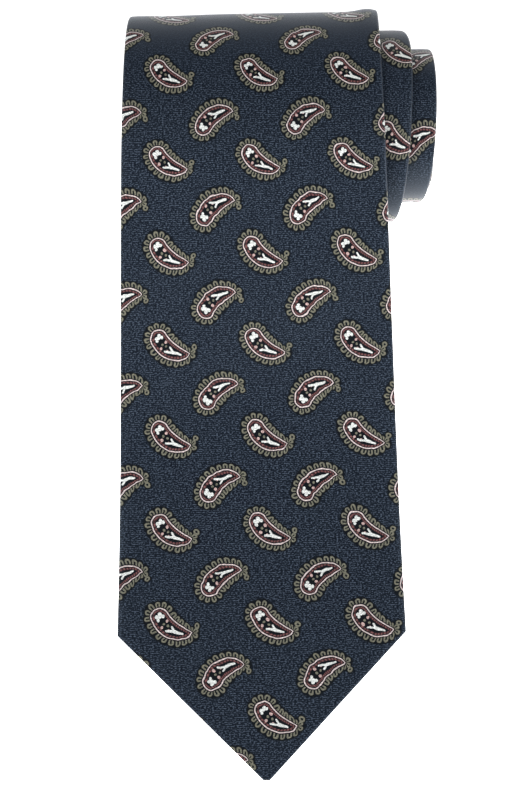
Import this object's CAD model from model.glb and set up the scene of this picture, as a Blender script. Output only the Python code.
"""Looks of the rolled silk necktie: cloth, stitching, labels, studio and camera.

The cloth is worked out in millimetres, as (x, s, d): x across the tie from its
middle line, s along it from the blade's tip, and d the depth below its front
face. cloth_points() bends that flat tie along the path over the roll.
"""

import math
import random

import bpy
import numpy as np
from mathutils import Matrix, Vector


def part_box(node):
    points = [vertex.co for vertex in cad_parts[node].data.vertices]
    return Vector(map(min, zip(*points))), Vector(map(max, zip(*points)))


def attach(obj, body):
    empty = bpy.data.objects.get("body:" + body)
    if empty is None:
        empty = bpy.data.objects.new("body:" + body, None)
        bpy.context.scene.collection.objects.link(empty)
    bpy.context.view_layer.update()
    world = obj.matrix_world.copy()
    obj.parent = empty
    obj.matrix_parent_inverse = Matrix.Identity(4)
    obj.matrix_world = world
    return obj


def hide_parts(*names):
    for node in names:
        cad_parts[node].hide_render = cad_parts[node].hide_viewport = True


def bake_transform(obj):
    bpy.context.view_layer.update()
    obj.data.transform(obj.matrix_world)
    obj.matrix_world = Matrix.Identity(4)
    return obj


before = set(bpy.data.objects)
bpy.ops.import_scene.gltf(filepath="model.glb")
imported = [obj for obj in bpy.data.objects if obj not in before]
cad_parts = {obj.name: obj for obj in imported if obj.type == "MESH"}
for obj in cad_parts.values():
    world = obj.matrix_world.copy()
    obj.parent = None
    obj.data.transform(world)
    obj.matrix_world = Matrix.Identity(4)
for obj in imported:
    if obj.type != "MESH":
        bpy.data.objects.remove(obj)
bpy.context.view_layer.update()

MM = 0.001

# ---------------------------------------------------------------- the tie, in mm
BLADE_W = 90.0
POINT_H = 46.5
TIP_X = 0.8
SHOULDER_S, SHOULDER_W = 252.0, 77.5
NECK_FROM, NECK_TO, NECK_W = 700.0, 1000.0, 38.0
TAIL_W = 46.0
BLADE_PANEL_END = 600.0
NECK_PANEL_END = 910.0
LINING_JOIN = 755.0
SILK_T, LINING_T, LAYER_GAP = 0.25, 0.55, 0.05
LINING_D = SILK_T + LAYER_GAP
LEFT_D = LINING_D + LINING_T + LAYER_GAP
RIGHT_D = LEFT_D + SILK_T + LAYER_GAP
TIE_T = RIGHT_D + SILK_T
LAP_W, HEM_W = 8.0, 8.0
HEM_X = HEM_W * math.sqrt(2)
BLADE_V, TAIL_V, LAP_EASE = 106.0, 52.0, 8.0
SEAM_T = 0.4
TAIL_POINT_H = TAIL_W / 2 * POINT_H / (BLADE_W / 2)

# The path, from the roll's axis: y across the roll, z up
ROLL_A, ROLL_B = 36.5, 26.0
LOOSE_PITCH_Y, LOOSE_PITCH_Z, TIGHT_PITCH = 6.3, 1.9, 1.75
TURNS, LOOSE_TURNS, SHOULDER_N = 12.25, 2.25, -0.1
ROLL_Z = ROLL_B - LOOSE_PITCH_Z / 2
TIP_Y, LIFT_Y = -204.2, -140.0
FOOT_PULL, SHOULDER_PULL = 46.0, 42.0
# How finely the path is cut: points on the table, steps on the slope, turns per step on the roll
FLAT_POINTS, SLOPE_POINTS, TURN_STEP = 200, 600, 0.002
LAID = FLAT_POINTS + SLOPE_POINTS - 1
SLIP_X, SLIP_START, SLIP_TURNS, SLIP_EASE = 34.5, 0.24, 2.77, 0.02
BULGE, BULGE_START, BULGE_END, BULGE_TURNS = 2.3, 0.25, 3.25, 0.5
SLIP_BACK, BACK_START, BACK_TURNS = 9.0, 2.75, 5.0

# From the roll's axis to the frame's own origin, read from the flat end of the blade
tip_low, tip_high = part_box("blade_panel_tip")
OFFSET = np.array([(tip_low.x + tip_high.x) / 2 / MM, tip_low.y / MM - TIP_Y, tip_low.z / MM])


def roll_at(n):
    """Place on the spiral after n turns, counted from its top."""
    inner, outer = np.maximum(0, n - LOOSE_TURNS), np.minimum(n, LOOSE_TURNS)
    a = ROLL_A - LOOSE_PITCH_Y * outer - TIGHT_PITCH * inner
    b = ROLL_B - LOOSE_PITCH_Z * outer - TIGHT_PITCH * inner
    turn = 2 * math.pi * n
    return np.stack([a * np.sin(turn), ROLL_Z + b * np.cos(turn)], -1)


def ramp(m):
    return (m + np.sqrt(m * m + SLIP_EASE)) / 2


def slip_at(n):
    """How far the cloth has slipped sideways after n turns."""
    share = np.clip((ramp(n - SLIP_START) - ramp(SHOULDER_N - SLIP_START)) / SLIP_TURNS, 0, 1)
    loose = np.clip(np.minimum(n - BULGE_START, BULGE_END - n) / BULGE_TURNS, 0, 1)
    bulge = BULGE * np.cos(2 * math.pi * n) * loose
    back = SLIP_BACK * np.clip((n - BACK_START) / BACK_TURNS, 0, 1)
    return SLIP_X * np.sin(math.pi / 2 * share) + bulge - back


class Path:
    """The front face's path from the tip to the tail, as a fine table over s."""

    def __init__(self):
        flat = np.stack([np.linspace(TIP_Y, LIFT_Y, FLAT_POINTS), np.full(FLAT_POINTS, TIE_T)], -1)
        shoulder = roll_at(np.array(SHOULDER_N))
        along = roll_at(np.array(SHOULDER_N + 0.01)) - shoulder
        along /= np.linalg.norm(along)
        foot = np.array([LIFT_Y, TIE_T])
        t = np.linspace(0, 1, SLOPE_POINTS)[1:, None]
        slope = ((1 - t) ** 3 * foot + 3 * (1 - t) ** 2 * t * (foot + [FOOT_PULL, 0])
                 + 3 * (1 - t) * t * t * (shoulder - SHOULDER_PULL * along) + t ** 3 * shoulder)
        turns = np.arange(SHOULDER_N + TURN_STEP, TURNS, TURN_STEP)
        yz = np.concatenate([flat, slope, roll_at(turns)])
        self.yz = yz
        self.n = np.concatenate([np.full(LAID, SHOULDER_N), turns])
        step = np.linalg.norm(np.diff(yz, axis=0), axis=1)
        self.s = np.concatenate([[0], np.cumsum(step)])
        d = np.gradient(yz, self.s, axis=0)
        d /= np.linalg.norm(d, axis=1)[:, None]
        self.normal = np.stack([-d[:, 1], d[:, 0]], -1)
        self.slope_t, self.slope_s = t[:, 0], self.s[FLAT_POINTS:LAID]
        self.length = self.s[-1]

    def at(self, s, values):
        return np.interp(s, self.s, values)

    def s_of_turn(self, n):
        return float(np.interp(n, self.n[LAID:], self.s[LAID:]))

    def s_of_y(self, y):
        """Length from the tip to the place y, on the table or the slope."""
        return float(np.interp(y, self.yz[:LAID, 0], self.s[:LAID]))

    def s_of_slope(self, t):
        """Length from the tip to a share t of the slope's curve."""
        return float(np.interp(t, self.slope_t, self.slope_s))


PATH = Path()
TIE_L = PATH.length
SHOULDER_AT = PATH.s_of_turn(SHOULDER_N)
WIDTHS = [(0, 0), (POINT_H, BLADE_W), (SHOULDER_S, SHOULDER_W), (NECK_FROM, NECK_W),
          (NECK_TO, NECK_W), (TIE_L - TAIL_POINT_H, TAIL_W), (TIE_L, 0)]


def half_w(s):
    return np.interp(s, [w[0] for w in WIDTHS], [w[1] for w in WIDTHS]) / 2


def end_facts(s):
    """For each s: length from the nearer tip, and that end's V, corner and opening."""
    tail = s > TIE_L / 2
    return (np.where(tail, TIE_L - s, s), np.where(tail, TAIL_V, BLADE_V),
            np.where(tail, TAIL_POINT_H, POINT_H), np.where(tail, TAIL_W, BLADE_W) / 2 - HEM_X)


def flap_end(s):
    """Where the right flap ends: past the middle along the seam, then an open V."""
    e, v, c, c_w = end_facts(s)
    return np.select(
        [e >= v + LAP_EASE, e >= v, e >= c],
        [-LAP_W / 2 + 0 * s, -LAP_W / 2 * (e - v) / LAP_EASE, c_w * (v - e) / (v - c)],
        np.maximum(0.1, half_w(s) - HEM_X))


def left_flap_d(s):
    e, v, _, _ = end_facts(s)
    down = np.clip((v - e) / LAP_EASE, 0, 1)
    return LEFT_D + (RIGHT_D - LAYER_GAP / 2 - LEFT_D) * down


# ------------------------------------------------------------ how the cloth lies
# Heights and lengths in mm. On the table the cloth curls at its sides and waves a little
EDGE_DROP, EDGE_DROP_LENGTH = 0.22, 1.3
CURL_H, CURL_LENGTH, CURL_SHIFT = 0.5, 17.0, 0.9
WAVE_H, WAVE_LENGTH, WAVE_FROM_TO = 0.55, (31.0, 23.0), (60, 130)
RIPPLE_H, RIPPLE_LENGTH, RIPPLE_FROM_TO = 0.18, (11.0, 7.3), (95, 130)
POINT_FROM_TO, SETTLED_FROM_TO = (2, 26), (SHOULDER_AT - 45, SHOULDER_AT - 8)
# The side of the second turn is drawn in, and the top of the roll stands up near its right end
CORNER_IN, CORNER_N, CORNER_TURNS = 2.6, 1.25, 0.085
RISE_H, RISE_X, RISE_W = 0.9, 35.5, 4.0
DIP_H, DIP_X, DIP_W = 0.3, -27.0, 12.0
TOP_S, TOP_LENGTH = PATH.s_of_turn(0.22), 12.0


def smooth(low, high, x):
    t = np.clip((x - low) / (high - low), 0, 1)
    return t * t * (3 - 2 * t)


def bump(x, middle, width):
    """A round bump, 1 high."""
    return np.exp(-((x - middle) / width) ** 2)


def edge_drop(x, s):
    """The front face falls a little towards the pressed edges."""
    return EDGE_DROP * np.exp(-np.maximum(0, half_w(s) - np.abs(x)) / EDGE_DROP_LENGTH)


def lift(x, s):
    """The soft unevenness of cloth that nobody has pressed flat, for every layer alike."""
    side = np.clip(np.abs(x) / np.maximum(half_w(s), 1), 0, 1)
    on_table = 1 - smooth(*SETTLED_FROM_TO, s)
    curl = CURL_H * side ** 3 * (0.55 + 0.45 * np.sin(s / CURL_LENGTH + np.sign(x) * CURL_SHIFT))
    wave = (WAVE_H * (0.5 + 0.5 * np.sin(s / WAVE_LENGTH[1] + x / WAVE_LENGTH[0]))
            * smooth(*WAVE_FROM_TO, s))
    ripple = (RIPPLE_H * (1 + np.sin(s / RIPPLE_LENGTH[1] - x / RIPPLE_LENGTH[0]))
              * smooth(*RIPPLE_FROM_TO, s))
    rise = RISE_H * bump(x, RISE_X, RISE_W) - DIP_H * bump(x, DIP_X, DIP_W)
    return (on_table * smooth(*POINT_FROM_TO, s) * (curl + wave + ripple)
            + bump(s, TOP_S, TOP_LENGTH) * rise)


def cloth_points(x, s, d):
    """World places, in metres, of points of the tie given as x, s and depth d."""
    x, s, d = np.broadcast_arrays(*(np.asarray(v, float) for v in (x, s, d)))
    y, z = PATH.at(s, PATH.yz[:, 0]), PATH.at(s, PATH.yz[:, 1])
    ny, nz = PATH.at(s, PATH.normal[:, 0]), PATH.at(s, PATH.normal[:, 1])
    n = PATH.at(s, PATH.n)
    side = np.where(n > SHOULDER_N, slip_at(n), TIP_X * np.clip(1 - s / POINT_H, 0, 1))
    side = side - CORNER_IN * bump(n, CORNER_N, CORNER_TURNS)
    out = lift(x, s) - d
    return (np.stack([x + side, y + ny * out, z + nz * out], -1) + OFFSET) * MM


# --------------------------------------------------------------------- meshes
def new_object(name, points, faces, uv=None, materials=(), face_material=None, sharp=40):
    mesh = bpy.data.meshes.new(name)
    mesh.from_pydata([tuple(p) for p in points], [], [tuple(f) for f in faces])
    mesh.validate()
    for m in materials:
        mesh.materials.append(m)
    if face_material is not None:
        mesh.polygons.foreach_set("material_index", face_material)
    if uv is not None:
        layer = mesh.uv_layers.new(name="fabric")
        corner = np.zeros(len(mesh.loops), np.int32)
        mesh.loops.foreach_get("vertex_index", corner)
        layer.data.foreach_set("uv", np.asarray(uv, np.float32)[corner].ravel())
    mesh.shade_smooth()
    mesh.set_sharp_from_angle(angle=math.radians(sharp))
    obj = bpy.data.objects.new(name, mesh)
    bpy.context.scene.collection.objects.link(obj)
    return obj


def grid_faces(rows, columns, first=0, flip=False):
    i, j = np.meshgrid(np.arange(rows - 1), np.arange(columns - 1), indexing="ij")
    a = first + i * columns + j
    quads = np.stack([a, a + 1, a + columns + 1, a + columns], -1).reshape(-1, 4)
    return quads[:, ::-1] if flip else quads


def bridge(first, second):
    """Quads between two equally long runs of vertices."""
    return np.stack([first[:-1], first[1:], second[1:], second[:-1]], -1)


def shell(name, outer, inner, uv, materials, sharp=40):
    """A closed thin sheet between two layers, each (x, s, d) arrays of rows and columns."""
    layers = [np.broadcast_arrays(*(np.asarray(v, float) for v in layer)) for layer in (outer, inner)]
    n, columns = layers[0][0].shape
    points = np.concatenate([cloth_points(*layer).reshape(-1, 3) for layer in layers])
    size = n * columns
    a = np.arange(size).reshape(n, columns)
    b = a + size
    top, under = grid_faces(n, columns), grid_faces(n, columns, size, flip=True)
    rim = np.concatenate([bridge(a[0], b[0])[:, ::-1], bridge(a[-1], b[-1]),
                          bridge(a[:, 0], b[:, 0]), bridge(a[:, -1], b[:, -1])[:, ::-1]])
    faces = np.concatenate([top, under, rim])
    first, second, third, fourth = (points[faces[:, k]] for k in range(4))
    volume = np.einsum("ij,ij->", first, np.cross(second, third) + np.cross(third, fourth))
    if volume < 0:
        faces = faces[:, ::-1]
    index = np.concatenate([np.zeros(len(top)), np.full(len(under), len(materials) - 1),
                            np.zeros(len(rim))]).astype(np.int32)
    flat_uv = np.stack(np.broadcast_arrays(*uv), -1).reshape(-1, 2)
    return new_object(name, points, faces, np.concatenate([flat_uv, flat_uv]), materials, index, sharp)


def stretched(u, s):
    """The print is drawn in a little where the tie is narrower."""
    return u * BLADE_W / np.interp(s, [POINT_H, SHOULDER_S], [BLADE_W, SHOULDER_W])


def silk_curve(s, columns, flap_columns, arc_steps):
    """The silk's middle line at s: left flap, left edge, front, right edge, right flap."""
    w, f, left = float(half_w(s)), float(flap_end(s)), float(left_flap_d(s)) + SILK_T / 2
    top, right = SILK_T / 2, RIGHT_D + SILK_T / 2
    r_left, r_right = (left - top) / 2, (right - top) / 2
    turn = np.linspace(0, math.pi, arc_steps + 2)[1:-1]
    flap = np.linspace(0, 1, flap_columns)
    parts = [
        np.stack([-f + (r_left - w + f) * flap, np.full(flap_columns, left)], -1),
        np.stack([r_left - w - r_left * np.sin(turn), left - r_left * (1 - np.cos(turn))], -1),
        np.stack([np.linspace(r_left - w, w - r_right, columns), np.full(columns, top)], -1),
        np.stack([w - r_right + r_right * np.sin(turn), top + r_right * (1 - np.cos(turn))], -1),
        np.stack([w - r_right + (f - w + r_right) * flap, np.full(flap_columns, right)], -1)]
    line = np.concatenate(parts)
    step = np.linalg.norm(np.diff(line, axis=0), axis=1)
    arc = np.concatenate([[0], np.cumsum(step)])
    middle = flap_columns + arc_steps
    arc = arc - arc[middle] + line[middle, 0]
    along = np.gradient(line, axis=0)
    along /= np.maximum(np.linalg.norm(along, axis=1), 1e-9)[:, None]
    out = np.stack([along[:, 1], -along[:, 0]], -1)
    fall = edge_drop(line[:, 0], s) * np.clip(1 - (line[:, 1] - top) / (right - top), 0, 1)
    fall[:flap_columns] = 0
    fall[-flap_columns:] = 0
    return line + np.stack([0 * fall, fall], -1), out, arc, step.sum()


def silk(name, s, columns, flap_columns, arc_steps, materials):
    """A panel of silk, folded round the interlining. Returns the object and its flat cut."""
    curves = [silk_curve(v, columns, flap_columns, arc_steps) for v in s]
    line, out, arc = (np.array([c[k] for c in curves]) for k in range(3))
    width = np.array([c[3] for c in curves])
    a, b = line + out * SILK_T / 2, line - out * SILK_T / 2
    along = s[:, None] + 0 * arc
    obj = shell(name, (a[..., 0], along, a[..., 1]), (b[..., 0], along, b[..., 1]),
                (stretched(arc, along), along), materials)
    area = float(np.sum((width[1:] + width[:-1]) / 2 * np.diff(s)))
    return obj, (width.max() * MM, (s[-1] - s[0]) * MM, area * MM * MM)


def band(name, s, inset, top, thickness, columns, material_, drop=True):
    """A flat layer inside the tie. Returns the object and its flat cut."""
    w = np.maximum(0.2, half_w(s) - inset)
    x = np.linspace(-1, 1, columns)[None, :] * w[:, None]
    along = s[:, None] + 0 * x
    fall = edge_drop(x, along) if drop else 0 * x
    obj = shell(name, (x, along, top + fall), (x, along, top + thickness + 0 * x),
                (stretched(x, along), along), [material_])
    area = float(np.sum((w[1:] + w[:-1]) * np.diff(s)))
    return obj, (2 * w.max() * MM, (s[-1] - s[0]) * MM, area * MM * MM)


def rows(start, end, step):
    return np.linspace(start, end, max(2, int(round((end - start) / step)) + 1))


def turn_rows(start, end, per_turn):
    """Rows of vertices over the roll, evenly by angle."""
    n0, n1 = (float(np.interp(v, PATH.s, PATH.n)) for v in (start, end))
    n = np.linspace(n0, n1, max(2, int(round((n1 - n0) * per_turn)) + 1))
    s = np.array([PATH.s_of_turn(v) for v in n])
    s[0], s[-1] = start, end
    return s


def tube(points, radius, sides=6):
    """Vertices and faces of one thread through a few points, thin at both ends."""
    points = np.asarray(points, float)
    along = np.gradient(points, axis=0)
    along /= np.maximum(np.linalg.norm(along, axis=1), 1e-12)[:, None]
    up = np.array([0.0, 0.0, 1.0]) if abs(along[0, 2]) < 0.8 else np.array([0.0, 1.0, 0.0])
    side = np.cross(along, up)
    side /= np.linalg.norm(side, axis=1)[:, None]
    other = np.cross(side, along)
    share = np.linspace(0, 1, len(points))
    r = radius * np.sqrt(np.clip(1 - (2 * share - 1) ** 4, 0.12, 1))
    turn = np.arange(sides) * 2 * math.pi / sides
    ring = (points[:, None] + (side[:, None] * np.cos(turn)[None, :, None]
            + other[:, None] * np.sin(turn)[None, :, None]) * r[:, None, None])
    faces = []
    for i in range(len(points) - 1):
        for j in range(sides):
            k = (j + 1) % sides
            faces.append((i * sides + j, i * sides + k, (i + 1) * sides + k, (i + 1) * sides + j))
    faces.append(tuple(range(sides))[::-1])
    faces.append(tuple((len(points) - 1) * sides + j for j in range(sides)))
    return ring.reshape(-1, 3), faces


def threads(name, lines, radius, material, sides=6):
    """One object made of many short threads, each a list of (x, s, d) in mm."""
    points, faces, total = [], [], 0
    for line in lines:
        line = np.asarray(line, float)
        ring, f = tube(cloth_points(line[:, 0], line[:, 1], line[:, 2]), radius * MM, sides)
        points.append(ring)
        faces += [tuple(i + total for i in q) for q in f]
        total += len(ring)
    mesh = bpy.data.meshes.new(name)
    mesh.from_pydata([tuple(p) for p in np.concatenate(points)], [], faces)
    mesh.materials.append(material)
    mesh.shade_smooth()
    mesh.set_sharp_from_angle(angle=math.radians(60))
    obj = bpy.data.objects.new(name, mesh)
    bpy.context.scene.collection.objects.link(obj)
    return obj


def stitch(start, end, sink=0.12, steps=7):
    """A stitch from start to end, both (x, s, d), that dips into the cloth at its ends."""
    t = np.linspace(0, 1, steps)
    line = np.asarray(start, float) * (1 - t)[:, None] + np.asarray(end, float) * t[:, None]
    line[:, 2] -= sink * (2 * t - 1) ** 4
    return line


# ------------------------------------------------------------------- materials
class Value:
    """A number inside a material, so that its formulas read as plain arithmetic."""
    tree = None

    def __init__(self, socket):
        self.socket = socket

    def __add__(self, o): return op("ADD", self, o)
    def __radd__(self, o): return op("ADD", o, self)
    def __sub__(self, o): return op("SUBTRACT", self, o)
    def __rsub__(self, o): return op("SUBTRACT", o, self)
    def __mul__(self, o): return op("MULTIPLY", self, o)
    def __rmul__(self, o): return op("MULTIPLY", o, self)
    def __truediv__(self, o): return op("DIVIDE", self, o)
    def __abs__(self): return op("ABSOLUTE", self)


def plug(socket, value):
    if isinstance(value, Value):
        Value.tree.links.new(value.socket, socket)
    else:
        socket.default_value = value


def op(kind, *args, clamp=False):
    node = Value.tree.nodes.new("ShaderNodeMath")
    node.operation, node.use_clamp = kind, clamp
    for socket, arg in zip(node.inputs, args):
        plug(socket, arg)
    return Value(node.outputs[0])


def least(a, b): return op("MINIMUM", a, b)
def most(a, b): return op("MAXIMUM", a, b)
def above(a, b): return op("GREATER_THAN", a, b)
def sine(a): return op("SINE", a)
def power(a, b): return op("POWER", a, b)
def fract(a): return op("FRACT", a)
def clamped(a): return op("ADD", a, 0.0, clamp=True)
def ribs(a, pitch): return sine(a * (2 * math.pi / pitch))
def choose(test, yes, no): return no + test * (yes - no)


def inside(distance, soft=0.07):
    """1 inside a shape and 0 outside, from the signed distance to its outline in mm."""
    return op("MULTIPLY_ADD", distance, -1 / soft, 0.5, clamp=True)


def ease(low, high, x):
    node = Value.tree.nodes.new("ShaderNodeMapRange")
    node.interpolation_type = "SMOOTHSTEP"
    plug(node.inputs["Value"], x)
    plug(node.inputs["From Min"], low)
    plug(node.inputs["From Max"], high)
    return Value(node.outputs["Result"])


def vector_op(kind, a, b=None, out="Vector"):
    node = Value.tree.nodes.new("ShaderNodeVectorMath")
    node.operation = kind
    plug(node.inputs[0], a)
    if b is not None:
        plug(node.inputs["Scale" if kind == "SCALE" else 1], b)
    return Value(node.outputs[out])


def vector(x, y, z=0.0):
    node = Value.tree.nodes.new("ShaderNodeCombineXYZ")
    for socket, value in zip(node.inputs, (x, y, z)):
        plug(socket, value)
    return Value(node.outputs[0])


def split(v):
    node = Value.tree.nodes.new("ShaderNodeSeparateXYZ")
    plug(node.inputs[0], v)
    return [Value(o) for o in node.outputs]


def noise(at, scale, detail=2.0, roughness=0.5):
    node = Value.tree.nodes.new("ShaderNodeTexNoise")
    plug(node.inputs["Vector"], at)
    node.inputs["Scale"].default_value = scale
    node.inputs["Detail"].default_value = detail
    node.inputs["Roughness"].default_value = roughness
    return Value(node.outputs["Fac"])


def blend_color(share, under, over):
    """The colour over laid on the colour under, by its share from 0 to 1."""
    node = Value.tree.nodes.new("ShaderNodeMix")
    node.data_type = "RGBA"
    plug(node.inputs["Factor"], share)
    for socket, value in ((node.inputs[6], under), (node.inputs[7], over)):
        plug(socket, value if isinstance(value, Value) else (*value, 1))
    return Value(node.outputs[2])


def shade(color, amount):
    """color times amount."""
    node = Value.tree.nodes.new("ShaderNodeVectorMath")
    node.operation = "SCALE"
    plug(node.inputs[0], color if isinstance(color, Value) else tuple(color))
    plug(node.inputs["Scale"], amount)
    return Value(node.outputs[0])


def fabric_uv():
    node = Value.tree.nodes.new("ShaderNodeUVMap")
    node.uv_map = "fabric"
    return Value(node.outputs[0])


def object_at():
    node = Value.tree.nodes.new("ShaderNodeTexCoord")
    return Value(node.outputs["Object"])


def facing(blend):
    node = Value.tree.nodes.new("ShaderNodeLayerWeight")
    node.inputs["Blend"].default_value = blend
    return Value(node.outputs["Facing"])


def material(name, paint, **constants):
    """A new material. paint() returns colour, roughness, relief (0 to 1) and its depth in mm."""
    m = bpy.data.materials.new(name)
    m.use_nodes = True
    Value.tree = m.node_tree
    shader = m.node_tree.nodes["Principled BSDF"]
    color, rough, height, bump_mm = paint()
    plug(shader.inputs["Base Color"], color)
    plug(shader.inputs["Roughness"], rough)
    bump = m.node_tree.nodes.new("ShaderNodeBump")
    bump.inputs["Strength"].default_value = 1.0
    bump.inputs["Distance"].default_value = bump_mm * MM
    plug(bump.inputs["Height"], height)
    m.node_tree.links.new(bump.outputs[0], shader.inputs["Normal"])
    for socket, value in constants.items():
        shader.inputs[socket.replace("_", " ")].default_value = value
    return m


# The print: a half-drop lattice of boteh motifs, every second row upside down
REPEAT_U, REPEAT_V = 31.5, 29.5
MOTIF_SCALE = 1.09
FIRST_U, FIRST_V = 2.60, 19.9
SECOND_SHIFT = 0.48
PRINT_SLANT, SLANT_FROM = 0.0059, 130.0
# Shifts of the print, chosen by hand so that its motifs fall where they should on each stretch of
# the cloth: from and to this far from the tip, and by how much along or across the tie
FIRST_DRIFT = -0.25
DRIFTS = ((190, 214, 2.2), (220, 256, 3.2), (262, 350, 10.7), (448, 510, 4.4))
SIDE_DRIFT, SIDE_DRIFT_FROM_TO = 7.8, (448, 510)

NAVY = (0.0100, 0.0150, 0.0250)
NAVY_LOW = (0.0024, 0.0050, 0.0112)
NAVY_HIGH = (0.0445, 0.0590, 0.0840)
DEEP = (0.0022, 0.0030, 0.0045)
OLIVE = (0.158, 0.154, 0.116)
MAROON = (0.165, 0.068, 0.067)
ROSE = (0.62, 0.52, 0.51)
IVORY = (0.66, 0.68, 0.66)
BLUSH = (0.50, 0.35, 0.33)

# The motif is a band round an arc, its spine, widest near the head. All in mm
HEAD_W, WIDTH_POWER = 2.5, 0.75
SPINE_R = 8.45
SPINE_X, SPINE_Y = 4.48, -5.89
SPINE_FROM, SPINE_TO = math.radians(155), math.radians(79)
SPINE_MIDDLE = (SPINE_FROM + SPINE_TO) / 2
# The ring of loops: how many, how large, and how far out from the outline they start and turn
OUTER_LOOPS, INNER_LOOPS, HEAD_LOOPS, TAIL_LOOPS = 8.0, 4.0, 12.0, 5.0
CROWDING = 0.79
LOOP_LINE, LOOP_R, INNER_LOOP_R = 0.24, 0.50, 0.45
LOOP_FOOT, LOOP_TOP = 0.50, 1.25
RING, TAIL_RING = 1.3, 1.4
HALO, CURL_HALO = 2.42, 0.42
CURL_R, CURL_X, CURL_Y = 0.56, 1.5, -2.0
THREADS_ALONG, THREADS_ROUND, THREAD_TURNS = 24.0, 9.0, 4.0
# Its filling. Petals are (x, y, radius) from the clover's middle; seeds and dabs are (place along
# the spine, distance beside it, radius); twigs add how much they thin
CLOVER_AT = 0.02
PETALS = ((-0.05, -0.98, 0.55), (0.82, -0.44, 0.50), (-0.90, -0.12, 0.55), (-0.58, 0.74, 0.44),
          (-0.12, -0.22, 0.56))
SEEDS = ((0.20, 0.10, 0.38), (0.32, -0.35, 0.36))
DABS = ((0.20, -1.15, 0.44), (0.24, 1.20, 0.44), (0.40, 0.50, 0.28))
FORK = (0.54, 0.05)
TWIGS = ((0.77, 0.20, 0.50, 0.5), (0.36, 1.10, 0.34, 0.2), (0.42, -0.80, 0.32, 0.2))
EDGE_LINE, BAND_IN, BAND_HALF = 0.165, 0.72, 0.27
# The print isn't quite regular: motifs wander by this much, over this many waves per mm
WOBBLE, WOBBLE_SCALE = 0.9, 0.35


def spine(t, off=0.0):
    """A point of the motif's bent middle line, from head (0) to tail (1)."""
    a = SPINE_FROM + (SPINE_TO - SPINE_FROM) * t
    return SPINE_X + (SPINE_R + off) * math.cos(a), SPINE_Y + (SPINE_R + off) * math.sin(a)


def disc(p, centre, radius):
    return vector_op("DISTANCE", p, (*centre, 0), "Value") - radius


def stroke(p, a, b, half, thinning=0.0):
    """Distance to a straight stroke from a to b, that may thin towards b."""
    ax, ay = a
    bx, by = b
    length2 = (bx - ax) ** 2 + (by - ay) ** 2
    pa = vector_op("SUBTRACT", p, (ax, ay, 0))
    t = vector_op("DOT_PRODUCT", pa, ((bx - ax) / length2, (by - ay) / length2, 0), "Value")
    t = clamped(t)
    foot = vector_op("SCALE", (bx - ax, by - ay, 0), t)
    return vector_op("DISTANCE", pa, foot, "Value") - (1 - t * thinning) * half


def nearest(*distances):
    result = distances[0]
    for d in distances[1:]:
        result = least(result, d)
    return result


def motif_place(u, v):
    """x to the right and y down within the nearest motif of the half-drop lattice."""
    drift = FIRST_DRIFT
    for start, end, amount in DRIFTS:
        drift = ease(start, end, v) * amount + drift
    aside = ease(*SIDE_DRIFT_FROM_TO, v) * SIDE_DRIFT

    def local(across, along):
        du = (u - aside - FIRST_U + (v - SLANT_FROM) * PRINT_SLANT) / REPEAT_U - across
        dv = (v + drift - FIRST_V) / REPEAT_V - along
        return ((du - op("ROUND", du)) * (REPEAT_U / MOTIF_SCALE),
                (dv - op("ROUND", dv)) * (REPEAT_V / MOTIF_SCALE))
    ax, ay = local(0.0, 0.0)
    bx, by = local(0.5, SECOND_SHIFT)
    second = above(abs(ax) + abs(ay), abs(bx) + abs(by))
    return choose(second, bx, ax), choose(second, by, ay * -1.0)


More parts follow.
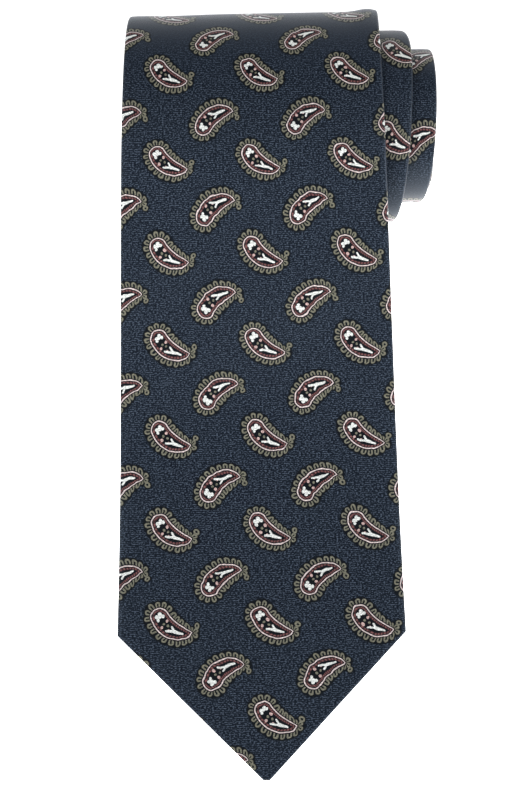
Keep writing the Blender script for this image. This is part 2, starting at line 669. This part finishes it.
def boteh(x, y):
    """Distances in mm for the print: outline, loops round it, and a coordinate along it."""
    dx, dy = x - SPINE_X, y - SPINE_Y
    p = vector(x, y)
    r = vector_op("LENGTH", vector(dx, dy), None, "Value")
    cos_m, sin_m = math.cos(SPINE_MIDDLE), math.sin(SPINE_MIDDLE)
    angle = op("ARCTAN2", dy * cos_m - dx * sin_m, dx * cos_m + dy * sin_m)
    t = (angle + (SPINE_MIDDLE - SPINE_FROM)) / (SPINE_TO - SPINE_FROM)
    t_in = clamped(t)
    width = (HEAD_W + t_in) * power(most(1 - t_in * t_in, 0.0), WIDTH_POWER)
    across = r - SPINE_R
    body = abs(across) - width
    head_x, head_y = spine(0)
    tail_x, tail_y = spine(1)
    head = disc(p, (head_x, head_y), HEAD_W)
    tail = disc(p, (tail_x, tail_y), 0.0)
    before, after = above(0.0, t), above(t, 1.0)
    outline = choose(before, head, choose(after, tail, body))

    # Cells of the ring of loops: beside the body, round the head and round the tail
    sector = SPINE_FROM - SPINE_TO
    outer = above(across, 0.0)
    count = choose(outer, OUTER_LOOPS, INNER_LOOPS)
    ring_r = SPINE_R + choose(outer, 1.0, -1.0) * (width + RING)
    along_t = choose(outer, t, t * (t * (1 - CROWDING) + CROWDING))
    crowding = choose(outer, 1.0, t * (2 * (1 - CROWDING)) + CROWDING)
    beside = (fract(along_t * count) - 0.5) * (ring_r * sector / count) / crowding
    head_turn = op("ARCTAN2", y - head_y, x - head_x) - SPINE_FROM + math.pi / 2
    head_turn = fract(head_turn / (2 * math.pi) + 2.0)
    round_head = (fract(head_turn * HEAD_LOOPS) - 0.5) * (2 * math.pi * (HEAD_W + RING) / HEAD_LOOPS)
    tail_turn = op("ARCTAN2", y - tail_y, x - tail_x) / (2 * math.pi) + 1.0
    round_tail = (fract(tail_turn * TAIL_LOOPS) - 0.5) * (2 * math.pi * TAIL_RING / TAIL_LOOPS)
    along = choose(before, round_head, choose(after, round_tail, beside))
    loop_r = choose(before, LOOP_R, choose(outer, LOOP_R, INNER_LOOP_R))
    past = most(outline - LOOP_TOP, 0.0)
    loop = abs(vector_op("LENGTH", vector(along, past), None, "Value") - loop_r) - LOOP_LINE
    loop = most(loop, LOOP_FOOT - outline)
    curl_d = disc(p, (tail_x + CURL_X, tail_y + CURL_Y), CURL_R)
    halo = least(outline - HALO, curl_d - LOOP_LINE - CURL_HALO)
    loops = least(loop, abs(curl_d) - LOOP_LINE)
    return p, outline, loops, halo, t * THREADS_ALONG + head_turn * THREADS_ROUND


def paisley(ground):
    """The whole print over the ground colour, in fabric millimetres."""
    u, v, _ = split(fabric_uv())
    wobble = vector_op("SCALE", fabric_uv(), WOBBLE_SCALE)
    shift = (noise(wobble, 1.0, 1.0) - 0.5) * WOBBLE
    x, y = motif_place(u + shift, v - shift)
    p, outline, loops, halo, along = boteh(x, y)
    middle_x, middle_y = spine(CLOVER_AT)
    clover = nearest(*(disc(p, (middle_x + px, middle_y + py), r) for px, py, r in PETALS))
    seeds, dabs = (nearest(*(disc(p, spine(t, off), r) for t, off, r in dots)) for dots in (SEEDS, DABS))
    fork = spine(*FORK)
    sprig = nearest(*(stroke(p, fork, spine(t, off), half, thin) for t, off, half, thin in TWIGS))
    thread_gap = ease(-0.35, 0.35, sine(along * THREAD_TURNS))

    color = blend_color(inside(halo, 0.35), ground, DEEP)
    color = blend_color(inside(loops, 0.12), color, OLIVE)
    color = blend_color(inside(outline), color, DEEP)
    band_d = abs(outline + BAND_IN) - BAND_HALF
    color = blend_color(inside(band_d, 0.1) * (0.25 + 0.75 * thread_gap), color, MAROON)
    color = blend_color(inside(abs(outline) - EDGE_LINE, 0.08), color, ROSE)
    color = blend_color(inside(seeds), color, OLIVE)
    color = blend_color(inside(dabs), color, BLUSH)
    color = blend_color(inside(nearest(clover, sprig)), color, IVORY)
    return u, v, color


TWILL_LEAN, TWILL_PITCH, WEFT_LEAN, WEFT_PITCH = (0.82, 0.57), 0.38, 0.12, 0.27


def twill(u, v):
    """Height of a fine twill, 0 to 1, with steep lines."""
    lines = ribs(u * TWILL_LEAN[0] + v * TWILL_LEAN[1], TWILL_PITCH)
    weft = ribs(v - u * WEFT_LEAN, WEFT_PITCH)
    return 0.5 + 0.33 * lines + 0.17 * weft


# The ground's grain: flecks and wandering rows of lighter thread, which fade at a low angle
FLECK_U, FLECK_V = 1.6, 2.8
ROW_PITCH, ROW_SHARE, ROW_WANDER, WANDER_SCALE = 0.63, 0.06, 25.0, 0.05
BROAD_SCALE = 0.02
GRAIN_FROM_TO, EVEN_GRAIN = (0.45, 0.69), 0.33
FADE_FROM_TO, FADE = (0.06, 0.42), 0.85


def paint_print():
    u, v, _ = split(fabric_uv())
    flecks = noise(vector(u * FLECK_U, v * FLECK_V), 1.0, 1.0)
    wander = noise(vector(u * WANDER_SCALE, v * WANDER_SCALE), 1.0, 1.0)
    threads_across = sine(v * (2 * math.pi / ROW_PITCH) + wander * ROW_WANDER)
    broad = noise(vector(u * BROAD_SCALE, v * BROAD_SCALE), 1.0, 1.0)
    amount = ease(*GRAIN_FROM_TO, flecks + threads_across * ROW_SHARE)
    amount = amount + (EVEN_GRAIN - amount) * ease(*FADE_FROM_TO, facing(0.5)) * FADE
    ground = shade(blend_color(amount, NAVY_LOW, NAVY_HIGH), 0.94 + 0.12 * broad)
    _, _, color = paisley(ground)
    weave = twill(u, v)
    color = shade(color, 0.70 + 0.55 * amount + 0.10 * weave)
    return color, 0.32 + 0.08 * flecks, weave, 0.035


def paint_reverse():
    u, v, _ = split(fabric_uv())
    flecks = noise(vector(u * 0.6, v * 2.2), 1.0, 2.0)
    _, _, color = paisley(shade(NAVY, 0.7 + 0.6 * flecks))
    color = blend_color(0.72, color, (0.012, 0.017, 0.027))
    return color, 0.62 + 0.1 * flecks, twill(u, v * -1.0), 0.03


WOOL_PITCH, TIPPING_PITCH, SATIN_PITCH, TAPE_PITCH, TWIST_PITCH = 1.1, 0.55, 0.24, 0.35, 0.28
SATIN_BORDER_V, SATIN_BORDER_HALF = 5.0, 0.28


def paint_wool():
    u, v, _ = split(fabric_uv())
    fuzz = noise(fabric_uv(), 1.3, 4.0, 0.7)
    warp = ribs(u, WOOL_PITCH) * ribs(v, WOOL_PITCH)
    color = shade((0.62, 0.57, 0.47), 0.72 + 0.4 * fuzz + 0.06 * warp)
    return color, 0.9 + 0.05 * fuzz, 0.5 * fuzz + 0.5 * warp, 0.12


def paint_tipping():
    u, v, _ = split(fabric_uv())
    weave = ribs(u - v, TIPPING_PITCH)
    fine = noise(fabric_uv(), 2.0, 2.0)
    color = shade((0.011, 0.013, 0.019), 0.8 + 0.3 * weave + 0.4 * fine)
    return color, 0.42 + 0.1 * fine, weave, 0.03


def paint_satin():
    u, v, _ = split(fabric_uv())
    weft = ribs(v, SATIN_PITCH)
    slubs = noise(vector(u * 0.3, v * 5.0), 1.0, 2.0)
    border = inside(abs(abs(v) - SATIN_BORDER_V) - SATIN_BORDER_HALF, 0.1)
    color = blend_color(border, shade((0.012, 0.014, 0.020), 0.75 + 0.5 * slubs), (0.16, 0.14, 0.09))
    return color, 0.3 + 0.15 * slubs, weft, 0.02


def paint_tape():
    u, v, _ = split(fabric_uv())
    warp = ribs(u, TAPE_PITCH)
    soft = noise(fabric_uv(), 0.8, 3.0)
    color = shade((0.80, 0.78, 0.72), 0.88 + 0.12 * soft + 0.03 * warp)
    return color, 0.55 + 0.1 * soft, warp, 0.02


def paint_thread(color):
    def paint():
        at = vector_op("SCALE", object_at(), 1 / MM)
        x, y, z = split(at)
        twist = ribs(x + y * 0.7 + z * 0.6, TWIST_PITCH)
        fuzz = noise(at, 3.0, 2.0)
        return shade(color, 0.75 + 0.25 * twist + 0.4 * fuzz), 0.5 + 0.1 * fuzz, twist, 0.03
    return paint


def paint_floor():
    grain = noise(object_at(), 60.0, 3.0)
    cloud = noise(object_at(), 1.2, 1.0)
    color = shade((0.92, 0.92, 0.92), 0.985 + 0.01 * grain + 0.01 * cloud)
    return color, 0.85 + 0.05 * grain, grain, 0.02


def light_table(floor_material):
    """The floor glows from below, most strongly in front of the roll."""
    Value.tree = floor_material.node_tree
    _, y, _ = split(object_at())
    glow = blend_color(ease(*GLOW_FROM_TO, y), (GLOW_NEAR,) * 3, (GLOW_FAR,) * 3)
    plug(floor_material.node_tree.nodes["Principled BSDF"].inputs["Emission Color"], glow)


SILK_LOOK = dict(Specular_IOR_Level=0.17, Specular_Tint=(0.72, 0.86, 1.0, 1),
                 Sheen_Weight=0.09, Sheen_Roughness=0.30, Sheen_Tint=(0.62, 0.78, 1.0, 1))
printed_silk = material("printed_silk", paint_print, **SILK_LOOK)
silk_reverse = material("silk_reverse", paint_reverse, Specular_IOR_Level=0.25)
wool = material("wool_interlining", paint_wool, Specular_IOR_Level=0.15, Sheen_Weight=0.3)
tipping_silk = material("tipping_silk", paint_tipping, Specular_IOR_Level=0.35)
label_satin = material("label_satin", paint_satin, Specular_IOR_Level=0.45)
care_tape = material("care_tape", paint_tape, Specular_IOR_Level=0.3)
navy_thread = material("navy_thread", paint_thread((0.020, 0.028, 0.045)), Specular_IOR_Level=0.35)
pale_thread = material("pale_thread", paint_thread((0.50, 0.47, 0.40)), Specular_IOR_Level=0.35)

# --------------------------------------------------------------- the silk panels
SPLIT_AT = PATH.s_of_y(-116.0)
LIFT_START, LIFT_END = PATH.s_of_turn(SHOULDER_N), PATH.s_of_y(-46.0)
# The fold stays mostly past the hinge, so that it doesn't sink into the table
BEND_START, BEND_END = PATH.s_of_y(-135.0), PATH.s_of_y(-153.0)
TIP_ROUND = 1.0
TAIL_END = TIE_L - 1.5
FRONT_STEPS, FLAP_STEPS, ARC_STEPS = 46, 12, 7
INNER_FRONT, INNER_FLAP, INNER_ARC = 16, 6, 5


def middle_at(s, d=0.0):
    return Vector(cloth_points(0.0, s, d + TIE_T / 2))


def lift_blend(obj):
    middle_at(LIFT_START)
    middle_at(LIFT_END)
    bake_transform(obj)


def bend_blend(obj):
    middle_at(BEND_START)
    middle_at(BEND_END)
    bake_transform(obj)


def ride_roll(obj):
    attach(obj, "roll")


def ride_upper(obj):
    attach(obj, "blade_upper")


def fit(made, hold, slot, held, rests_on, *replaced, with_pieces=()):
    obj, (width, length, area) = made
    hold(obj)
    if replaced:
        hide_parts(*replaced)
    return obj


def piece(obj, hold, slot, *replaced):
    hold(obj)
    if replaced:
        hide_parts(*replaced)
    return obj


tip_rows = np.concatenate([TIP_ROUND + (POINT_H - TIP_ROUND) * np.linspace(0, 1, 30) ** 1.15,
                           rows(POINT_H, SPLIT_AT, 2.4)[1:]])
upper_rows = rows(SPLIT_AT, SHOULDER_AT, 2.0)
rolled_rows = turn_rows(SHOULDER_AT, BLADE_PANEL_END - SEAM_T / 2, 84)
neck_rows = turn_rows(BLADE_PANEL_END + SEAM_T / 2, NECK_PANEL_END - SEAM_T / 2, 56)
tail_rows = turn_rows(NECK_PANEL_END + SEAM_T / 2, TAIL_END, 44)

both = [printed_silk, silk_reverse]
outer = (FRONT_STEPS, FLAP_STEPS, ARC_STEPS)
inner = (INNER_FRONT, INNER_FLAP, INNER_ARC)
floor_name = "studio_floor"
fit(silk("silk_blade_end", tip_rows, *outer, both), bend_blend, "printed_silk",
    "laid", [floor_name], "blade_panel_tip")
fit(silk("silk_blade_upper", upper_rows, *outer, both), lift_blend, "printed_silk",
    "folded", ["silk_blade_rolled"], "blade_panel_upper")
fit(silk("silk_blade_rolled", rolled_rows, *outer, both), ride_roll, "printed_silk",
    "folded", [floor_name], "blade_panel_rolled")
fit(silk("silk_neck", neck_rows, *inner, both), ride_roll, "printed_silk",
    "folded", ["silk_blade_rolled"], "neck_panel")
fit(silk("silk_tail", tail_rows, *inner, both), ride_roll, "printed_silk",
    "folded", ["silk_neck"], "tail_panel")

# --------------------------------------------------- interlinings, tippings, seams
LINING_INSET = SILK_T + 0.5
TIPPING_INSET = SILK_T + LAYER_GAP + 0.25
LINING_TIP, LINING_TAIL = 2.2, TIE_L - 3.0


def lining(name, s, columns):
    return band(name, s, LINING_INSET, LINING_D, LINING_T, columns, wool)


fit(lining("wool_blade_end", tip_rows[tip_rows > LINING_TIP], 31), bend_blend, "wool_interlining",
    "laid", ["silk_blade_end"], "blade_interlining_tip")
fit(lining("wool_blade_upper", upper_rows, 31), lift_blend, "wool_interlining",
    "laid", ["silk_blade_upper"], "blade_interlining_upper")
fit(lining("wool_blade_rolled", turn_rows(SHOULDER_AT, LINING_JOIN - SEAM_T / 2, 60), 21),
    ride_roll, "wool_interlining", "folded", ["silk_blade_rolled"], "blade_interlining_rolled")
fit(lining("wool_tail", turn_rows(LINING_JOIN + SEAM_T / 2, LINING_TAIL, 44), 13), ride_roll,
    "wool_interlining", "folded", ["silk_tail"], "tail_interlining")

TIPPING_GAP = 6.0
TIPPING_FULL, TONGUE_END = BLADE_V - LAP_EASE - TIPPING_GAP, BLADE_V - 1.0
TONGUE_UNDER, TONGUE_CLEAR, TONGUE_NARROWING = 1.5, 0.1, 2.5


def tipping_inset(s):
    """Full width under the hems, then a tongue that fills the V between the two flaps."""
    freed = smooth(BLADE_V - LAP_EASE - TONGUE_NARROWING, BLADE_V - LAP_EASE, s)
    under = TONGUE_UNDER - (TONGUE_UNDER + TONGUE_CLEAR) * freed
    return np.where(s > TIPPING_FULL, half_w(s) - flap_end(s) - under, TIPPING_INSET)


tipping_rows = np.concatenate([tip_rows[tip_rows > LINING_TIP],
                               rows(tip_rows[-1], TIPPING_FULL, 2.0)[1:],
                               rows(TIPPING_FULL + 0.05, TONGUE_END, 1.0)])
fit(band("blade_tipping_silk", tipping_rows, tipping_inset(tipping_rows), LEFT_D, SILK_T, 31,
         tipping_silk, drop=False), bend_blend, "tipping_silk", "laid", ["silk_blade_end"],
    "blade_tipping_tip", "blade_tipping_upper")
tail_tip_rows = turn_rows(TIE_L - TAIL_V + LAP_EASE + TIPPING_GAP, LINING_TAIL, 44)
fit(band("tail_tipping_silk", tail_tip_rows, TIPPING_INSET, LEFT_D, SILK_T, 13, tipping_silk,
         drop=False), ride_roll, "tipping_silk", "laid", ["silk_tail"], "tail_tipping")

# ---------------------------------------------------------------------- stitching
random.seed(7)
SEAM_STITCH, SEAM_THREAD, SEAM_INSET, SEAM_HALF = 1.7, 0.13, 1.2, 0.7
seam_lines = []
for seam in (BLADE_PANEL_END, NECK_PANEL_END):
    reach = float(half_w(seam)) - SEAM_INSET
    for k in range(int(2 * reach / SEAM_STITCH)):
        x = -reach + SEAM_STITCH * (k + 0.5)
        seam_lines.append(stitch((x - SEAM_HALF, seam, 0.1), (x + SEAM_HALF, seam, 0.1)))
piece(threads("panel_seam_stitches", seam_lines, SEAM_THREAD, navy_thread), ride_roll,
      "thread", "panel_seams")

SLIP_PITCH, SLIP_LENGTH, SLIP_THREAD = 5.5, 1.3, 0.13


def slip_stitches(start, end):
    """Short slanted stitches over the edge of the upper flap."""
    lines = []
    for k in range(int((end - start) / SLIP_PITCH)):
        s = start + SLIP_PITCH * (k + 0.5) + random.uniform(-0.5, 0.5)
        edge = float(flap_end(np.array(s)))
        lines.append(stitch((edge - 0.55, s, RIGHT_D - 0.02), (edge + 0.35, s + SLIP_LENGTH, TIE_T + 0.03),
                            sink=-0.10))
    return lines


SEAM_FROM = BLADE_V + LAP_EASE
piece(threads("slip_stitches_upper", slip_stitches(SEAM_FROM, SHOULDER_AT), SLIP_THREAD, navy_thread),
      lift_blend, "thread", "slip_stitch_upper")
piece(threads("slip_stitches_rolled", slip_stitches(SHOULDER_AT, TIE_L - TAIL_V - LAP_EASE),
              SLIP_THREAD, navy_thread), ride_roll, "thread", "slip_stitch_rolled")

TACK_W, TACK_L, TACK_THREADS = 7.0, 1.4, 13


def bar_tack(s, radius):
    """Close zigzag threads across the seam, over two long ones."""
    lines = []
    for k in (0.3, 0.7):
        at = s + TACK_L * k
        lines.append(stitch((-TACK_W / 2, at, TIE_T + radius), (TACK_W / 2, at, TIE_T + radius),
                            sink=0.1, steps=9))
    for k in range(TACK_THREADS):
        x = -TACK_W / 2 + TACK_W * (k + 0.5) / TACK_THREADS
        lines.append(stitch((x - 0.12, s, TIE_T + radius * 2), (x + 0.12, s + TACK_L, TIE_T + radius * 2),
                            sink=radius * 1.5))
    return lines


piece(threads("blade_bar_tack_threads", bar_tack(BLADE_V + LAP_EASE / 2, 0.2), 0.2, navy_thread),
      ride_upper, "thread", "blade_bar_tack")
piece(threads("tail_bar_tack_threads", bar_tack(TIE_L - TAIL_V - LAP_EASE / 2 - TACK_L, 0.07), 0.08,
              navy_thread), ride_roll, "thread", "tail_bar_tack")

# --------------------------------------------------------- keeper loop and labels
KEEPER_L, KEEPER_W, KEEPER_GAP = 54.0, 9.0, 1.7
KEEPER_T, KEEPER_END, KEEPER_RISE = 0.5, 5.0, 3.0
LABEL_L, LABEL_W, LABEL_T, LABEL_LIFT = 50.0, 13.0, 0.3, 0.2
CARE_L, CARE_W, CARE_T, CARE_X, CARE_THREAD = 22.0, 11.0, 0.2, 15.0, 0.38
TOUCH = 0.02
KEEPER_AT, LABEL_AT, CARE_AT = (PATH.s_of_slope(t) for t in (0.6, 0.71, 0.54))


def patch(name, centre_x, centre_s, length, width, depth, thickness, material_, columns, n,
          pillow=0.0):
    """A flat strip on the tie's back, its edges a little thinner than its middle."""
    a, b = np.meshgrid(np.linspace(-1, 1, columns), np.linspace(-1, 1, n))
    rim = np.clip(18 * np.minimum(1 - np.abs(a), (1 - np.abs(b)) * width / length), 0, 1)
    half_t = thickness / 2 * (0.55 + 0.45 * np.sqrt(rim))
    mid = depth + thickness / 2 + pillow * (1 - a * a) * (1 - b * b)
    u, v = a * length / 2, b * width / 2
    x, s = centre_x + u, centre_s + v
    obj = shell(name, (x, s, mid + half_t), (x, s, mid - half_t), (u, v), [material_], 50)
    return obj, (length * MM, width * MM, length * width * MM * MM)


fit(patch("maker_label_satin", 0.0, LABEL_AT, LABEL_L, LABEL_W, TIE_T + LABEL_LIFT, LABEL_T,
          label_satin, 61, 21, pillow=0.05),
    ride_upper, "label_satin", "laid", ["silk_blade_upper"], "maker_label")


def running(start, end, pitch, length, depth, sink=0.14):
    """A row of running stitches from start to end, given as (x, s) in mm."""
    start, end = np.array(start, float), np.array(end, float)
    total = np.linalg.norm(end - start)
    count = int(total / pitch)
    lines = []
    for k in range(count):
        middle = start + (end - start) * (k + 0.5) / count
        half = (end - start) / total * length / 2
        lines.append(stitch((*(middle - half), depth), (*(middle + half), depth), sink))
    return lines


EDGE_STITCH, EDGE_PITCH, EDGE_LENGTH, EDGE_THREAD = 1.0, 1.7, 1.25, 0.15
label_x, label_s = LABEL_L / 2 - EDGE_STITCH, LABEL_W / 2 - EDGE_STITCH
label_depth = TIE_T + LABEL_LIFT + LABEL_T + 0.08
label_lines = []
for sign in (-1, 1):
    label_lines += running((-label_x, LABEL_AT + sign * label_s), (label_x, LABEL_AT + sign * label_s),
                           EDGE_PITCH, EDGE_LENGTH, label_depth)
    label_lines += running((sign * label_x, LABEL_AT - label_s), (sign * label_x, LABEL_AT + label_s),
                           EDGE_PITCH, EDGE_LENGTH, label_depth)
piece(threads("maker_label_edge_stitches", label_lines, EDGE_THREAD, navy_thread), ride_upper,
      "thread", "maker_label_stitches")


def keeper():
    """A silk strip folded lengthwise: flat tacked ends, and a raised middle for the tail."""
    a, b = KEEPER_L / 2, KEEPER_L / 2 - KEEPER_END
    knee = b - KEEPER_RISE
    x = np.concatenate([np.linspace(-a, -b, 7), np.linspace(-b, -knee, 7)[1:],
                        np.linspace(-knee, knee, 41)[1:], np.linspace(knee, b, 7)[1:],
                        np.linspace(b, a, 7)[1:]])
    rise = (KEEPER_GAP - TOUCH) * smooth(-b, -knee, -np.abs(x))
    ply = KEEPER_T * 0.46
    bend = (KEEPER_T - ply) / 2
    turn = np.linspace(0, math.pi, 7)[1:-1]
    reach = KEEPER_W / 2 - bend - ply / 2
    under, over = np.linspace(-0.2, -reach, 6), np.linspace(-reach, reach, 15)
    across = np.concatenate([under, -reach - bend * np.sin(turn), over,
                             reach + bend * np.sin(turn), -under[::-1]])
    depth = np.concatenate([0 * under, bend * (1 - np.cos(turn)), 0 * over + 2 * bend,
                            bend * (1 + np.cos(turn)), 0 * under])
    line = np.stack([across, depth], -1)
    along = np.gradient(line, axis=0)
    along /= np.linalg.norm(along, axis=1)[:, None]
    out = np.stack([-along[:, 1], along[:, 0]], -1)
    run = np.concatenate([[0], np.cumsum(np.linalg.norm(np.diff(line, axis=0), axis=1))])
    base = TIE_T + TOUCH + ply / 2 + rise[:, None]
    layers = [(x[:, None] + 0 * across, KEEPER_AT + (line + out * side)[:, 0] + 0 * x[:, None],
               base + (line + out * side)[:, 1]) for side in (ply / 2, -ply / 2)]
    obj = shell("keeper_loop_silk", *layers, (x[:, None] + 0 * run, KEEPER_AT + run + 0 * x[:, None]),
                both)
    length = np.linalg.norm(np.diff(np.stack([x, rise], -1), axis=0), axis=1).sum()
    return obj, (length * MM, run[-1] * MM, length * run[-1] * MM * MM)


fit(keeper(), ride_upper, "printed_silk", "folded", ["silk_blade_upper"], "keeper_loop")
keeper_lines = []
KEEPER_STITCHES = 7
for sign in (-1, 1):
    x = sign * (KEEPER_L / 2 - KEEPER_END / 2)
    for k in range(KEEPER_STITCHES):
        s = KEEPER_AT - KEEPER_W / 2 + KEEPER_W * (k + 0.5) / KEEPER_STITCHES
        depth = TIE_T + TOUCH + KEEPER_T + 0.18
        keeper_lines.append(stitch((x - 0.9, s - 0.25, depth), (x + 0.9, s + 0.25, depth), 0.3))
piece(threads("keeper_tack_threads", keeper_lines, 0.2, navy_thread), ride_upper, "thread",
      "keeper_tacks")

care_depth = TIE_T + TOUCH + CARE_THREAD - CARE_T / 2
care_free = CARE_W - CARE_THREAD - TOUCH
care = patch("care_label_tape", CARE_X, CARE_AT - CARE_THREAD - TOUCH - care_free / 2, CARE_L,
             care_free, care_depth, CARE_T, care_tape, 31, 17)
fit(care, lambda obj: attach(obj, "care_flap"), "care_tape", "laid", ["silk_blade_upper"], "care_label")
care_lines = []
CARE_STITCHES = 16
for k in range(CARE_STITCHES):
    x = CARE_X - CARE_L / 2 + CARE_L * (k + 0.5) / CARE_STITCHES
    depth = TIE_T + TOUCH + CARE_THREAD
    care_lines.append(stitch((x - 0.62, CARE_AT - 0.1, depth), (x + 0.62, CARE_AT + 0.1, depth), 0.2))
piece(threads("care_label_stitches", care_lines, 0.34, pale_thread), ride_upper, "thread",
      "care_label_thread")

# -------------------------------------------------------------------- the studio
FLOOR_HALF, FLOOR_STEPS, FLOOR_DROP = 3.0, 25, 0.00002
WORLD_COLOR, WORLD_STRENGTH = (0.97, 0.985, 1.0, 1), 0.30
# The glow in front of the roll and behind it, and the y in metres from and to which it changes
GLOW_NEAR, GLOW_FAR, GLOW_FROM_TO = 3.2, 0.38, (0.065, 0.125)
floor_mat = material("pale_floor", paint_floor, Specular_IOR_Level=0.1, Emission_Strength=1.0)
light_table(floor_mat)
steps = np.linspace(-FLOOR_HALF, FLOOR_HALF, FLOOR_STEPS)
fx, fy = np.meshgrid(steps, steps)
floor = new_object(floor_name, np.stack([fx, fy, 0 * fx - FLOOR_DROP], -1).reshape(-1, 3),
                   grid_faces(FLOOR_STEPS, FLOOR_STEPS), None, [floor_mat])

world = bpy.data.worlds.new("soft_white")
world.use_nodes = True
world.node_tree.nodes["Background"].inputs["Color"].default_value = WORLD_COLOR
world.node_tree.nodes["Background"].inputs["Strength"].default_value = WORLD_STRENGTH
bpy.context.scene.world = world


def softbox(name, place, aim, size, watts):
    data = bpy.data.lights.new(name, "AREA")
    data.shape, data.size, data.size_y, data.energy = "RECTANGLE", *size, watts
    obj = bpy.data.objects.new(name, data)
    obj.location = place
    obj.rotation_euler = (Vector(aim) - Vector(place)).to_track_quat("-Z", "Y").to_euler()
    bpy.context.scene.collection.objects.link(obj)


softbox("left_softbox", (-1.25, -0.05, 1.05), (0, 0, 0), (1.2, 1.2), 24)
softbox("right_softbox", (1.25, -0.05, 1.05), (0, 0, 0), (1.2, 1.2), 18.5)
softbox("near_softbox", (0, -1.5, 0.30), (0, 0.05, 0), (1.8, 0.45), 13)
softbox("low_softbox", (1.5, 0, 0.16), (0, 0, 0.02), (1.6, 0.25), 8)

bpy.context.scene.view_settings.view_transform = "Standard"

# The camera: nearly overhead, leaning a little towards the tip, and slightly rolled
VIEW_ELEVATION, VIEW_DISTANCE, VIEW_ROLL = math.radians(80), 1.0, math.radians(-0.99)
SENSOR, FOCAL_SHARE = 36.0, 3.991
AIM = np.array([1.83, -82.0, 0.0])
target = Vector((AIM + OFFSET) * MM)
back = Vector((0, -math.cos(VIEW_ELEVATION), math.sin(VIEW_ELEVATION)))
camera_data = bpy.data.cameras.new("camera")
camera_data.sensor_width = SENSOR
camera_data.lens = SENSOR * FOCAL_SHARE
camera = bpy.data.objects.new("camera", camera_data)
camera.matrix_world = (Matrix.Translation(target + back * VIEW_DISTANCE)
                       @ (-back).to_track_quat("-Z", "Y").to_matrix().to_4x4()
                       @ Matrix.Rotation(VIEW_ROLL, 4, "Z"))
bpy.context.scene.collection.objects.link(camera)
bpy.context.scene.camera = camera
